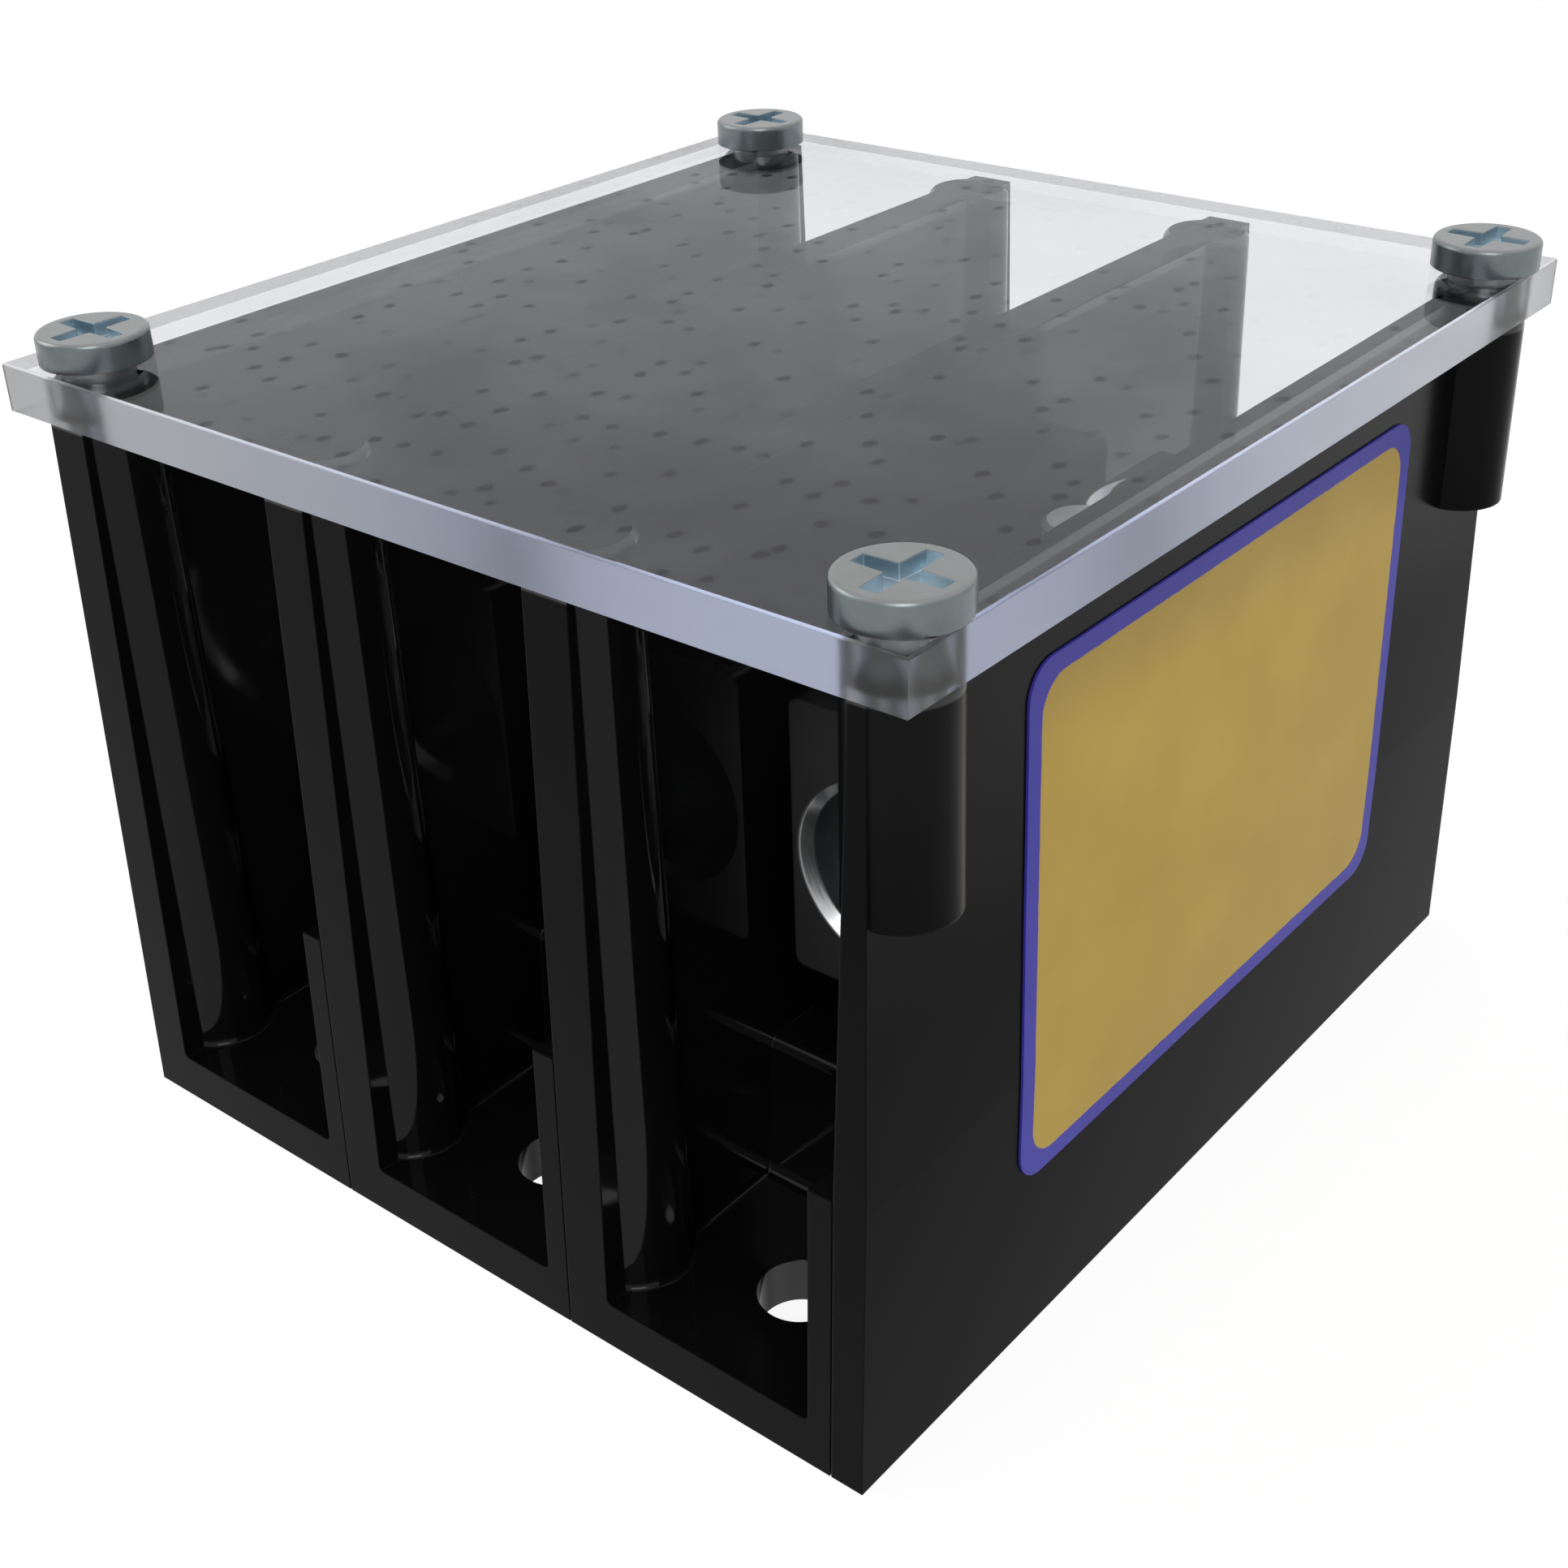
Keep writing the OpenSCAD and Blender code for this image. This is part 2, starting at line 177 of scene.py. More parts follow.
def soft_edge_group():
    """The normal of a surface whose sharp edges are rounded a little, with a fine grain in it."""
    group, n, start, end = new_group(
        "soft_edge",
        {"Vector": ("Vector", None), "Edge Radius": ("Float", 0.0001), "Grain Scale": ("Float", 9000.0),
         "Grain Depth": ("Float", 0.000002)},
        {"Normal": "Vector"})
    edge = n.add("ShaderNodeBevel", {"samples": 4}, Radius=start.outputs["Edge Radius"])
    grain = n.noise(start.outputs["Vector"], start.outputs["Grain Scale"], 3.0, 0.6)
    bump = n.add("ShaderNodeBump", Height=n.math("MULTIPLY", grain, start.outputs["Grain Depth"]),
                 Normal=edge.outputs["Normal"])
    bump.inputs["Distance"].default_value = 1.0
    n.put(end.inputs["Normal"], bump.outputs["Normal"])
    return group


def marks_group():
    """Specks and cloudy patches, as masks from 0 to 1."""
    group, n, start, end = new_group(
        "marks",
        {"Vector": ("Vector", None), "Speck Scale": ("Float", 220.0), "Cloud Scale": ("Float", 40.0)},
        {"Specks": "Float", "Clouds": "Float"})
    vector = start.outputs["Vector"]
    uneven = n.noise(vector, n.math("MULTIPLY", start.outputs["Speck Scale"], 4.0), 2.0, 0.6)
    cells = n.add("ShaderNodeTexVoronoi", Vector=vector, Scale=start.outputs["Speck Scale"], Randomness=1.0)
    strength = n.parts(cells.outputs["Color"])[0]
    reach = n.math("MULTIPLY_ADD", uneven, 0.16, cells.outputs["Distance"])
    specks = n.math("MULTIPLY", n.ramp(reach, 0.10, 0.30, 1.0, 0.0), n.ramp(strength, 0.15, 0.9))
    n.put(end.inputs["Specks"], specks)
    n.put(end.inputs["Clouds"], n.ramp(n.noise(vector, start.outputs["Cloud Scale"], 3.0, 0.55), 0.3, 0.7))
    return group


def axis_group():
    """How far a point is from the upright axis at X and Y."""
    group, n, start, end = new_group(
        "axis_distance",
        {"Vector": ("Vector", None), "X": ("Float", 0.0), "Y": ("Float", 0.0)},
        {"Distance": "Float"})
    x, y, z = n.parts(start.outputs["Vector"])
    dx = n.math("SUBTRACT", x, start.outputs["X"])
    dy = n.math("SUBTRACT", y, start.outputs["Y"])
    squares = n.math("ADD", n.math("MULTIPLY", dx, dx), n.math("MULTIPLY", dy, dy))
    n.put(end.inputs["Distance"], n.math("SQRT", squares))
    return group


def plastic_group():
    """The satin and the sheen of the moulded plastic and of its end faces, which lean by the draft.

    The rounded rims of the columns are brighter, and the tops have no sheen, because the sheet rests there.
    """
    group, n, start, end = new_group(
        "moulded_plastic",
        {"Vector": ("Vector", None), "Satin": ("Float", 0.0), "Sheen": ("Float", 0.1),
         "End Sheen": ("Float", 0.04)},
        {"Satin": "Float", "Sheen": "Float"})
    draft = math.radians(2)
    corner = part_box("pole_1")[1]
    x, y, z = n.parts(start.outputs["Vector"])
    reach = n.math("ADD", n.math("ABSOLUTE", y), n.math("MULTIPLY", z, math.tan(draft)))
    ends = n.ramp(reach, corner.y - 0.15 * MM, corner.y - 0.05 * MM)
    satin = n.math("MAXIMUM", ends, start.outputs["Satin"])
    sheen = n.between(satin, start.outputs["Sheen"], start.outputs["End Sheen"])
    sheen = n.between(n.ramp(z, corner.z - 0.7 * MM, corner.z - 0.5 * MM), sheen, 0.5)
    below_sheet = n.math("LESS_THAN", z, corner.z - 0.05 * MM)
    n.put(end.inputs["Satin"], satin)
    n.put(end.inputs["Sheen"], n.math("MULTIPLY", sheen, below_sheet))
    return group


SOFT_EDGE = soft_edge_group()
MARKS = marks_group()
AXIS = axis_group()
PLASTIC = plastic_group()


def empty_nodes(owner):
    """Clears the node tree of a material or a world. Returns its helper."""
    owner.use_nodes = True
    owner.node_tree.nodes.clear()
    return Nodes(owner.node_tree)


def new_material(name):
    """An empty material with a Principled BSDF. Returns it, its helper, the shader and Object coordinates."""
    material = bpy.data.materials.new(name)
    n = empty_nodes(material)
    shader = n.add("ShaderNodeBsdfPrincipled")
    output = n.add("ShaderNodeOutputMaterial")
    n.put(output.inputs["Surface"], shader.outputs["BSDF"])
    return material, n, shader, n.place()


def use_group(n, group, **values):
    """A node group with values for its inputs. Returns its outputs."""
    return n.add("ShaderNodeGroup", {"node_tree": group}, **values).outputs


def housing_material():
    """Black moulded plastic: polished inside the cells, with a fine satin grain on its end and outer faces."""
    material, n, shader, place = new_material("housing_black")
    left_face = -31.55 * MM
    x, y, z = n.parts(place)
    outside = n.math("LESS_THAN", x, left_face + 0.05 * MM)
    near_ends = n.ramp(n.math("ABSOLUTE", y), 27.5 * MM, 28.5 * MM)
    in_cells = n.between(near_ends, n.ramp(z, 30 * MM, 42 * MM, 0.45, 0.10), 0.16)
    plastic = use_group(n, PLASTIC, Vector=place, Satin=outside, Sheen=in_cells, End_Sheen=0.040)
    marks = use_group(n, MARKS, Vector=place, Cloud_Scale=60.0)
    colour = n.mix(marks["Clouds"], (0.0030, 0.0030, 0.0030, 1), (0.0045, 0.0044, 0.0042, 1))
    n.put(shader.inputs["Base Color"], colour)
    polish = n.ramp(marks["Clouds"], 0.0, 1.0, 0.05, 0.10)
    n.put(shader.inputs["Roughness"], n.math("ADD", polish, n.math("MULTIPLY", plastic["Satin"], 0.25)))
    n.put(shader.inputs["Specular IOR Level"], plastic["Sheen"])
    depth = n.math("MULTIPLY", n.math("ADD", plastic["Satin"], 0.05), 0.0025 * MM)
    edge = use_group(n, SOFT_EDGE, Vector=place, Edge_Radius=0.12 * MM, Grain_Scale=7000.0,
                     Grain_Depth=depth)
    n.put(shader.inputs["Normal"], edge["Normal"])
    return material


def plate_material():
    """The end plate: the same plastic, a little greyer, with a satin outer face."""
    material, n, shader, place = new_material("plate_black")
    x, y, z = n.parts(place)
    marks = use_group(n, MARKS, Vector=place, Cloud_Scale=45.0)
    colour = n.mix(marks["Clouds"], (0.0040, 0.0040, 0.0042, 1), (0.0052, 0.0052, 0.0054, 1))
    n.put(shader.inputs["Base Color"], colour)
    n.put(shader.inputs["Roughness"], n.ramp(marks["Clouds"], 0.0, 1.0, 0.16, 0.24))
    face = n.ramp(z, 28 * MM, 48 * MM, 0.018, 0.062)
    plastic = use_group(n, PLASTIC, Vector=place, Sheen=face, End_Sheen=0.032)
    n.put(shader.inputs["Specular IOR Level"], plastic["Sheen"])
    edge = use_group(n, SOFT_EDGE, Vector=place, Edge_Radius=0.18 * MM, Grain_Scale=6000.0,
                     Grain_Depth=0.0012 * MM)
    n.put(shader.inputs["Normal"], edge["Normal"])
    return material


def connector_material(name):
    """Dull extruded aluminium, bright where the ports and the screw holes were machined."""
    material, n, shader, place = new_material("connector_aluminium")
    low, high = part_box(name)
    x, y, z = n.parts(place)
    side = n.math("ABSOLUTE", n.math("SUBTRACT", x, middle(name).x))
    from_end = n.math("SUBTRACT", high.y, n.math("ABSOLUTE", y))
    from_side = n.math("SUBTRACT", (high.x - low.x) / 2, side)
    from_foot_or_top = n.math("MINIMUM", n.math("SUBTRACT", z, low.z), n.math("SUBTRACT", high.z, z))
    skin = n.math("MINIMUM", from_end, n.math("MINIMUM", from_side, from_foot_or_top))
    machined = n.ramp(skin, 0.02 * MM, 0.04 * MM)
    marks = use_group(n, MARKS, Vector=place, Cloud_Scale=120.0)
    dull = n.mix(marks["Clouds"], (0.13, 0.13, 0.13, 1), (0.17, 0.17, 0.18, 1))
    turned = n.mix(n.noise(place, 900.0, 3.0, 0.6), (0.42, 0.43, 0.44, 1), (0.66, 0.67, 0.68, 1))
    n.put(shader.inputs["Base Color"], n.mix(machined, dull, turned))
    shader.inputs["Metallic"].default_value = 1.0
    n.put(shader.inputs["Roughness"], n.ramp(machined, 0.0, 1.0, 0.27, 0.22))
    drawn = n.add("ShaderNodeMapping", Vector=place)
    drawn.inputs["Scale"].default_value = (0.3, 3.0, 0.3)
    edge = use_group(n, SOFT_EDGE, Vector=drawn.outputs["Vector"], Edge_Radius=0.22 * MM, Grain_Scale=2600.0,
                     Grain_Depth=0.004 * MM)
    n.put(shader.inputs["Normal"], edge["Normal"])
    return material


def screw_material(name):
    """Zinc plated steel with a fine grain and dark pits round the head; painted shade darkens the side of the
    head, and a painted bright blue reflection fills its recess.
    """
    material, n, shader, place = new_material(name + "_zinc")
    low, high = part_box(name)
    centre = middle(name)
    head_radius = (high.x - low.x) / 2
    recess_radius, recess_floor = 2.75 * MM, 1.2 * MM
    z = n.parts(place)[2]
    radius = use_group(n, AXIS, Vector=place, X=centre.x, Y=centre.y)["Distance"]
    below_top = n.ramp(z, high.z - 0.06 * MM, high.z - 0.02 * MM, 1.0, 0.0)
    above_floor = n.math("GREATER_THAN", z, high.z - recess_floor)
    recess = n.math("MULTIPLY", n.math("LESS_THAN", radius, recess_radius), below_top)
    recess = n.math("MULTIPLY", recess, above_floor)
    marks = use_group(n, MARKS, Vector=place, Speck_Scale=320.0, Cloud_Scale=260.0)
    zinc = n.mix(marks["Clouds"], (0.225, 0.245, 0.24, 1), (0.27, 0.285, 0.285, 1))
    # Painted shade: the side of the head is darker than its top, and the dark pits are mixed into it below
    side = n.mix(marks["Clouds"], (0.135, 0.155, 0.16, 1), (0.185, 0.21, 0.215, 1))
    pits = n.math("MULTIPLY", n.ramp(n.noise(place, 11000.0, 2.0, 0.6), 0.48, 0.62),
                  n.math("MULTIPLY", marks["Specks"], 0.5))
    side = n.mix(pits, side, (0.02, 0.03, 0.035, 1))
    zinc = n.mix(n.ramp(radius, head_radius - 0.14 * MM, head_radius - 0.02 * MM), zinc, side)
    # Painted reflection: the recess is pale blue and bright, as if lit by light bouncing inside it
    blue = n.mix(marks["Clouds"], (0.47, 0.56, 0.61, 1), (0.55, 0.64, 0.69, 1))
    n.put(shader.inputs["Base Color"], n.mix(recess, zinc, blue))
    shader.inputs["Metallic"].default_value = 1.0
    n.put(shader.inputs["Roughness"], n.ramp(marks["Clouds"], 0.0, 1.0, 0.26, 0.36))
    edge = use_group(n, SOFT_EDGE, Vector=place, Edge_Radius=0.12 * MM, Grain_Scale=9000.0,
                     Grain_Depth=0.0035 * MM)
    n.put(shader.inputs["Normal"], edge["Normal"])
    return material


def soft_spots(n, place):
    """Small soft spots on a flat sheet, as a mask."""
    flat = n.add("ShaderNodeMapping", Vector=place)
    flat.inputs["Scale"].default_value = (400, 300, 1)
    cells = n.add("ShaderNodeTexVoronoi", {"voronoi_dimensions": "2D"}, Vector=flat.outputs["Vector"],
                  Scale=1.0)
    strength = n.ramp(n.parts(cells.outputs["Color"])[0], 0.1, 1.0)
    reach = n.math("MULTIPLY_ADD", n.noise(place, 1600.0), 0.12, cells.outputs["Distance"])
    return n.math("MULTIPLY", n.ramp(reach, 0.08, 0.28, 1.0, 0.0), strength)


def cover_material():
    """Clear sheet with a faint lavender tint, frosted at its sides, with spots and clouds on its top."""
    material, n, shader, place = new_material("cover_clear")
    low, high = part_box("cover")
    centre = (low + high) / 2
    half_x, half_y = (high.x - low.x) / 2, (high.y - low.y) / 2
    refraction = 1.4
    marks = use_group(n, MARKS, Vector=place, Cloud_Scale=70.0)
    x, y, z = n.parts(place)
    x = n.math("SUBTRACT", x, centre.x)
    upper = n.math("GREATER_THAN", z, high.z - 0.01 * MM)
    specks = n.math("MULTIPLY", soft_spots(n, place), upper)

    # The side faces, the same with their chamfers, and the two at the front and the right, which are smoother
    # and have darker chamfers
    from_side = n.math("MINIMUM", n.math("SUBTRACT", half_x, n.math("ABSOLUTE", x)),
                       n.math("SUBTRACT", half_y, n.math("ABSOLUTE", y)))
    faces = n.ramp(from_side, 0.02 * MM, 0.05 * MM, 1.0, 0.0)
    sides = n.ramp(from_side, 0.12 * MM, 0.16 * MM, 1.0, 0.0)
    front_or_right = n.math("MAXIMUM", n.math("SUBTRACT", x, half_x), n.math("SUBTRACT", -half_y, y))
    front_right_sides = n.ramp(front_or_right, -0.2 * MM, -0.16 * MM)

    # The holes lie alike in the four quarters
    left, right = middle("cover_screw_front_left"), middle("cover_screw_front_right")
    across = n.math("ABSOLUTE", n.math("ADD", x, centre.x - (left.x + right.x) / 2))
    quarter = n.add("ShaderNodeCombineXYZ", X=across, Y=n.math("ABSOLUTE", y)).outputs["Vector"]
    hole = use_group(n, AXIS, Vector=quarter, X=(right.x - left.x) / 2, Y=abs(left.y))
    drilled = n.math("LESS_THAN", hole["Distance"], 2.23 * MM)

    clear = n.mix(marks["Clouds"], (0.74, 0.745, 0.765, 1), (0.82, 0.825, 0.845, 1))
    clear = n.mix(n.math("MULTIPLY", specks, 0.12), clear, (0.30, 0.30, 0.32, 1))
    # Darker chamfers at the front and the right than at the other sides
    frosted = n.mix(front_right_sides, (0.97, 0.97, 0.98, 1), (0.32, 0.32, 0.32, 1))
    frosted = n.mix(faces, (0.95, 0.95, 0.98, 1), frosted)
    colour = n.mix(sides, clear, frosted)
    n.put(shader.inputs["Base Color"], n.mix(drilled, colour, (0.35, 0.35, 0.36, 1)))
    roughness = n.math("MULTIPLY", sides, n.math("MULTIPLY_ADD", front_right_sides, -0.4, 0.75))
    n.put(shader.inputs["Roughness"], n.math("MAXIMUM", roughness, n.math("MULTIPLY", drilled, 0.3)))
    shader.inputs["IOR"].default_value = refraction
    shader.inputs["Transmission Weight"].default_value = 1.0

    # A part of the light goes in without a reflection at the top, and is lost at the walls of the holes
    calm = n.add("ShaderNodeBsdfRefraction", Color=(0.88, 0.883, 0.893, 1), Roughness=0.0, IOR=refraction)
    inside = n.add("ShaderNodeNewGeometry").outputs["Backfacing"]
    at_top = n.math("MULTIPLY_ADD", marks["Clouds"], -0.18, 0.78)
    at_top = n.math("ADD", at_top, n.math("MULTIPLY", specks, 0.52))
    at_top = n.math("MULTIPLY", at_top, n.math("MULTIPLY", upper, n.math("SUBTRACT", 1.0, inside)))
    at_holes = n.math("MULTIPLY", n.math("MULTIPLY", drilled, inside), 0.7)
    share = n.math("MAXIMUM", at_top, at_holes)
    sheet = n.mix_shaders(share, shader.outputs["BSDF"], calm.outputs["BSDF"])

    # Lamps shine through
    light_path = n.add("ShaderNodeLightPath")
    through = n.add("ShaderNodeBsdfTransparent", Color=(0.85, 0.86, 0.9, 1))
    mixed = n.mix_shaders(light_path.outputs["Is Shadow Ray"], sheet, through.outputs["BSDF"])
    output = next(node for node in material.node_tree.nodes if node.type == "OUTPUT_MATERIAL")
    n.put(output.inputs["Surface"], mixed)
    volume = n.add("ShaderNodeVolumeAbsorption", Color=(0.0, 0.25, 0.9, 1), Density=4.5)
    n.put(output.inputs["Volume"], volume.outputs["Volume"])
    return material


def label_material():
    """Printed film: a bare yellow field inside a blue border, both with rounded corners, with a painted shadow
    darkening its top.
    """
    material, n, shader, place = new_material("label_film")
    low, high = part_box("label")
    centre = (low + high) / 2
    half_w, half_h = (high.y - low.y) / 2, (high.z - low.z) / 2
    corner, border = 2.2 * MM, 1.2 * MM
    x, y, z = n.parts(place)
    out_y = n.math("SUBTRACT", n.math("ABSOLUTE", n.math("SUBTRACT", y, centre.y)), half_w - border - corner)
    out_z = n.math("SUBTRACT", n.math("ABSOLUTE", n.math("SUBTRACT", z, centre.z)), half_h - border - corner)
    past_y, past_z = n.math("MAXIMUM", out_y, 0.0), n.math("MAXIMUM", out_z, 0.0)
    squares = n.math("ADD", n.math("MULTIPLY", past_y, past_y), n.math("MULTIPLY", past_z, past_z))
    within = n.math("MINIMUM", n.math("MAXIMUM", out_y, out_z), 0.0)
    distance = n.math("SUBTRACT", n.math("ADD", n.math("SQRT", squares), within), corner)
    wobble = n.math("MULTIPLY", n.math("SUBTRACT", n.noise(place, 1500.0), 0.5), 0.12 * MM)
    blue_part = n.ramp(n.math("ADD", distance, wobble), -0.05 * MM, 0.05 * MM)
    marks = use_group(n, MARKS, Vector=place, Cloud_Scale=90.0)
    yellow = n.mix(marks["Clouds"], (0.50, 0.33, 0.050, 1), (0.56, 0.38, 0.065, 1))
    blue = n.mix(marks["Clouds"], (0.042, 0.034, 0.36, 1), (0.055, 0.046, 0.44, 1))
    # Painted shadow of the cover: the top of the label darkens towards dark grey
    shade = n.ramp(z, high.z - 8 * MM, high.z, 0.0, 0.25)
    printed = n.mix(blue_part, yellow, blue)
    n.put(shader.inputs["Base Color"], n.mix(shade, printed, (0.03, 0.025, 0.03, 1)))
    shader.inputs["Roughness"].default_value = 0.45
    shader.inputs["Specular IOR Level"].default_value = 0.2
    return material


def turned_zinc(name, centre, dark=(0.26, 0.27, 0.26, 1), pale=(0.36, 0.38, 0.37, 1), roughness=0.22):
    """The zinc of threads, bolts and socket screws, with fine turning marks round the axis through centre."""
    material, n, shader, place = new_material(name)
    mark_width, mark_depth = 0.14 * MM, 0.0006 * MM
    marks = use_group(n, MARKS, Vector=place, Speck_Scale=1200.0, Cloud_Scale=300.0)
    n.put(shader.inputs["Base Color"], n.mix(marks["Clouds"], dark, pale))
    shader.inputs["Metallic"].default_value = 1.0
    n.put(shader.inputs["Roughness"], n.ramp(marks["Specks"], 0.0, 1.0, roughness, roughness + 0.18))
    radius = use_group(n, AXIS, Vector=place, X=centre.x, Y=centre.y)["Distance"]
    rings = n.math("SINE", n.math("MULTIPLY", radius, 2 * math.pi / mark_width))
    bump = n.add("ShaderNodeBump", Height=n.math("MULTIPLY", rings, mark_depth))
    bump.inputs["Distance"].default_value = 1.0
    n.put(shader.inputs["Normal"], bump.outputs["Normal"])
    return material


def new_piece(name, bm, body, replaced=None):
    """Turns a bmesh into a piece that moves with a body and, where it is named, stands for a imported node."""
    bmesh.ops.recalc_face_normals(bm, faces=bm.faces)
    mesh = bpy.data.meshes.new(name)
    bm.to_mesh(mesh)
    bm.free()
    piece = bpy.data.objects.new(name, mesh)
    scene.collection.objects.link(piece)
    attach(piece, body)
    if replaced:
        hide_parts(replaced)
    return piece


def smooth(piece, angle=math.radians(35)):
    """Smooth shading, with the edges sharper than this angle kept."""
    for face in piece.data.polygons:
        face.use_smooth = True
    piece.data.set_sharp_from_angle(angle=angle)


def add_thread(bm, centre, root, crest, low, high, pitch):
    """A helical ridge round the upright axis through centre, from low to high."""
    steps = 36
    turns = (high - low) / pitch
    foot = root - 0.05 * MM
    corners = [(foot, -0.42), (crest, -0.07), (crest, 0.07), (foot, 0.42)]
    verts = [bm.verts.new((centre.x + r, centre.y, low + h * pitch)) for r, h in corners]
    ridge = bm.faces.new(verts)
    bmesh.ops.spin(bm, geom=[ridge] + list(ridge.edges) + verts, cent=(centre.x, centre.y, 0), axis=(0, 0, 1),
                   dvec=(0, 0, pitch / steps), angle=2 * math.pi * turns, steps=int(steps * turns))


def make_cover_sheet():
    """The clear sheet, a hair clear of its walls, so that its underside reflects from within."""
    hair = 0.03 * MM
    bm = bmesh.new()
    bm.from_mesh(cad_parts["cover"].data)
    bmesh.ops.remove_doubles(bm, verts=bm.verts, dist=0.001 * MM)
    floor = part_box("cover")[0].z
    under = [vert for vert in bm.verts if vert.co.z < floor + 0.01 * MM]
    bmesh.ops.translate(bm, verts=under, vec=(0, 0, hair))
    new_piece("cover_sheet", bm, "cover", "cover")
    set_material("cover_sheet", cover_material())


def shape_ring(ring, axis, radius, height, six_sided=False):
    """Moves a ring of corners to a circle, or to a hexagon with flats this far from the axis."""
    for i, vert in enumerate(ring):
        turn = 2 * math.pi * i / len(ring)
        off = (turn % (math.pi / 3)) - math.pi / 6
        reach = radius / math.cos(off) if six_sided else radius
        vert.co = (axis.x + reach * math.cos(turn), axis.y + reach * math.sin(turn), height)


def make_set_screw(name):
    """A threaded socket screw for a packed one: rings from its foot, over its top and into its socket."""
    low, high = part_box(name)
    axis = (low + high) / 2
    corners = 72
    root, crest, pitch = 4.85 * MM, (high.x - low.x) / 2, 1.27 * MM
    bevel, run_out = 0.5 * MM, 0.45 * MM
    hexagon = 6.35 * MM / 2
    mouth = hexagon / math.cos(math.pi / 6) + 0.05 * MM
    socket_floor = high.z - 3.2 * MM
    bm = bmesh.new()
    ring = bmesh.ops.create_circle(bm, segments=corners, radius=root, cap_ends=False)["verts"]
    foot = list(ring)
    shape_ring(ring, axis, root - 0.9 * MM, low.z)
    steps = [(root, low.z + bevel, False), (root, high.z - bevel, False), (root - 0.35 * MM, high.z, False),
             (mouth, high.z, False), (hexagon, high.z - 0.3 * MM, True), (hexagon, socket_floor, True),
             (hexagon - 0.5 * MM, socket_floor, False)]
    for radius, height, six_sided in steps:
        loop = [bm.edges.get((ring[i - 1], ring[i])) for i in range(corners)]
        made = bmesh.ops.extrude_edge_only(bm, edges=loop)["geom"]
        new = {v for v in made if isinstance(v, bmesh.types.BMVert)}
        ring = [next(e.other_vert(v) for e in v.link_edges if e.other_vert(v) in new) for v in ring]
        shape_ring(ring, axis, radius, height, six_sided)
    bmesh.ops.contextual_create(bm, geom=ring)
    bmesh.ops.contextual_create(bm, geom=foot)
    add_thread(bm, axis, root, crest, low.z + run_out, high.z - run_out, pitch)
    piece = new_piece(name + "_threaded", bm, name, name)
    smooth(piece)
    set_material(piece.name, turned_zinc(name + "_zinc", axis))


def make_shank_threads():
    """The thread on each cover screw's shank, up to the plain part under the head."""
    root, crest, pitch = 1.45 * MM, 1.72 * MM, 1.1 * MM
    point, length = 1.2 * MM, 9.6 * MM
    for name in node_names("cover_screw_"):
        axis = middle(name)
        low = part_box(name)[0].z + point
        bm = bmesh.new()
        add_thread(bm, axis, root, crest, low, low + length, pitch)
        piece = new_piece(name + "_thread", bm, name)
        smooth(piece)
        set_material(piece.name, turned_zinc(name + "_thread_zinc", axis))


def set_material(name, material):
    """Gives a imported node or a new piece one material."""
    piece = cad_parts.get(name) or bpy.data.objects[name]
    piece.data.materials.clear()
    piece.data.materials.append(material)


def dress_nodes():
    """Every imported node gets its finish."""
    housing, plate = housing_material(), plate_material()
    for name in node_names("pole_"):
        set_material(name, housing)
    set_material("end_plate", plate)
    for name in node_names("connector_"):
        if "bolt" not in name:
            set_material(name, connector_material(name))
    for name in node_names("cover_screw_"):
        set_material(name, screw_material(name))
    dark, pale = (0.62, 0.63, 0.63, 1), (0.8, 0.81, 0.81, 1)
    for name in node_names("connector_bolt_"):
        set_material(name, turned_zinc(name + "_zinc", middle(name), dark, pale, roughness=0.4))
    set_material("cover", cover_material())
    set_material("label", label_material())


def make_pieces():
    """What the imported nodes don't hold: the clear sheet's true underside and the threads."""
    make_cover_sheet()
    make_shank_threads()
    for name in node_names("set_screw_"):
        make_set_screw(name)


def sees_white(n):
    """1 for a ray from the camera, a reflected one and a refracted one, and 0 for the others."""
    rays = n.add("ShaderNodeLightPath").outputs
    bent = n.math("MAXIMUM", rays["Is Glossy Ray"], rays["Is Transmission Ray"])
    return n.math("MAXIMUM", rays["Is Camera Ray"], bent)


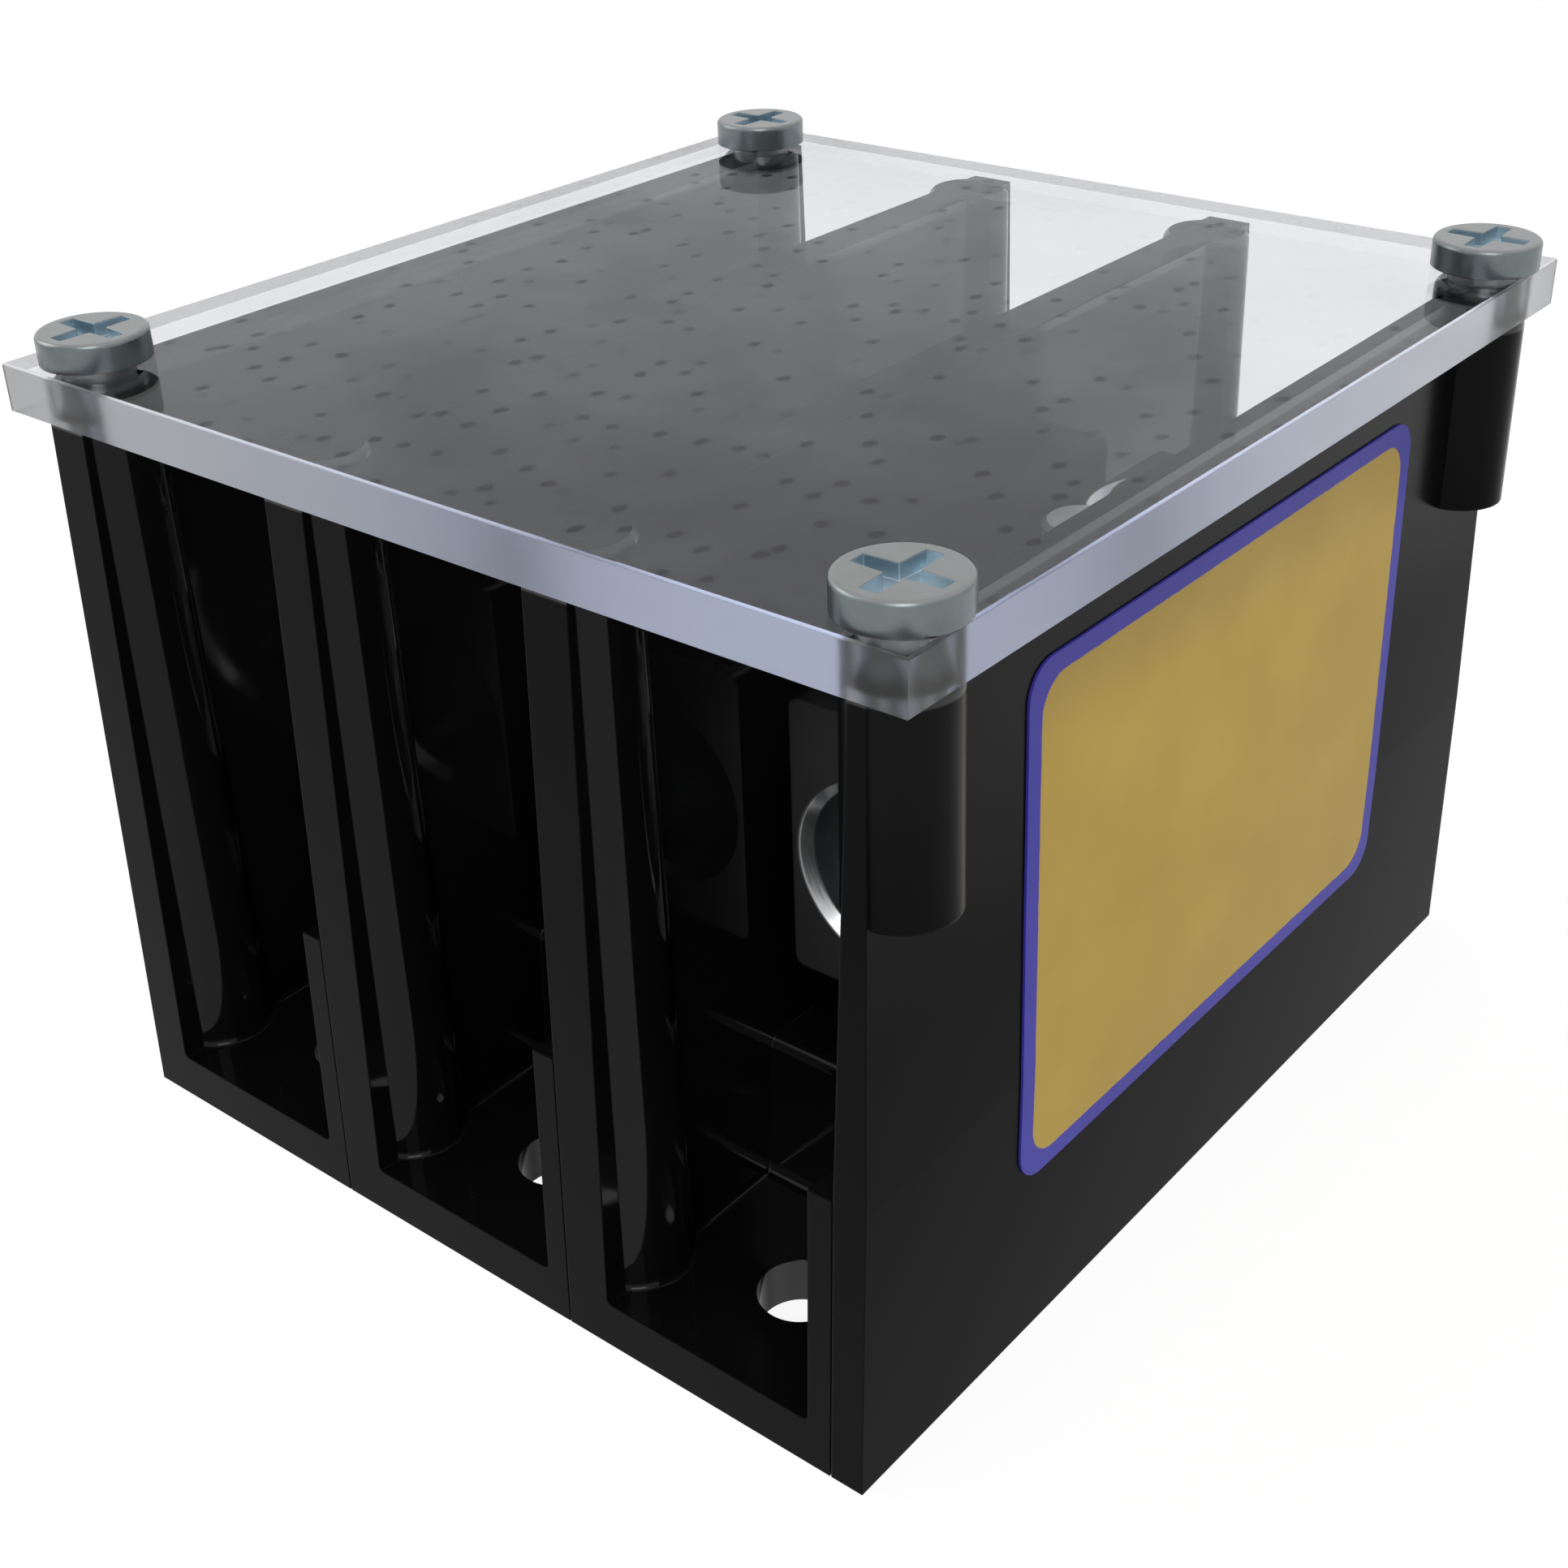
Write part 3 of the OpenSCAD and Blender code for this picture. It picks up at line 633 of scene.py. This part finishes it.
def make_floor():
    """A pale floor that shows white and keeps a light shadow."""
    mesh = bpy.data.meshes.new("floor")
    bm = bmesh.new()
    bmesh.ops.create_grid(bm, x_segments=1, y_segments=1, size=3.0)
    bm.to_mesh(mesh)
    bm.free()
    floor = bpy.data.objects.new("floor", mesh)
    scene.collection.objects.link(floor)
    material = bpy.data.materials.new("floor_white")
    n = empty_nodes(material)
    matt = n.add("ShaderNodeBsdfDiffuse", Color=(0.8, 0.8, 0.8, 1))
    glow = n.add("ShaderNodeEmission", Color=(1, 1, 1, 1), Strength=1.12)
    share = n.math("MULTIPLY", sees_white(n), 0.8)
    mixed = n.mix_shaders(share, matt.outputs["BSDF"], glow.outputs["Emission"])
    output = n.add("ShaderNodeOutputMaterial")
    n.put(output.inputs["Surface"], mixed)
    material.cycles.emission_sampling = "NONE"
    mesh.materials.append(material)


def make_world():
    """White where it is seen, reflected or refracted, and a softer light everywhere else."""
    world = bpy.data.worlds.new("studio")
    n = empty_nodes(world)
    light = n.add("ShaderNodeBackground", Color=(1, 1, 1, 1), Strength=0.55)
    white = n.add("ShaderNodeBackground", Color=(1, 1, 1, 1), Strength=1.0)
    mixed = n.mix_shaders(sees_white(n), light.outputs["Background"], white.outputs["Background"])
    output = n.add("ShaderNodeOutputWorld")
    n.put(output.inputs["Surface"], mixed)
    world.cycles.sampling_method = "NONE"
    scene.world = world


def make_lamp(name, place, aim, size, power):
    """A square soft lamp at place, turned to aim, both in millimetres."""
    data = bpy.data.lights.new(name, "AREA")
    data.energy = power
    data.size = size * MM
    lamp = bpy.data.objects.new(name, data)
    lamp.location = Vector(place) * MM
    lamp.rotation_mode = "QUATERNION"
    lamp.rotation_quaternion = ((Vector(aim) - Vector(place)) * MM).to_track_quat("-Z", "Y")
    scene.collection.objects.link(lamp)


make_camera()
dress_nodes()
make_pieces()
make_floor()
make_world()
make_lamp("key", (260, -330, 420), (0, 0, 25), 220, 0.9)
make_lamp("fill", (-420, -180, 300), (0, 0, 25), 300, 0.5)
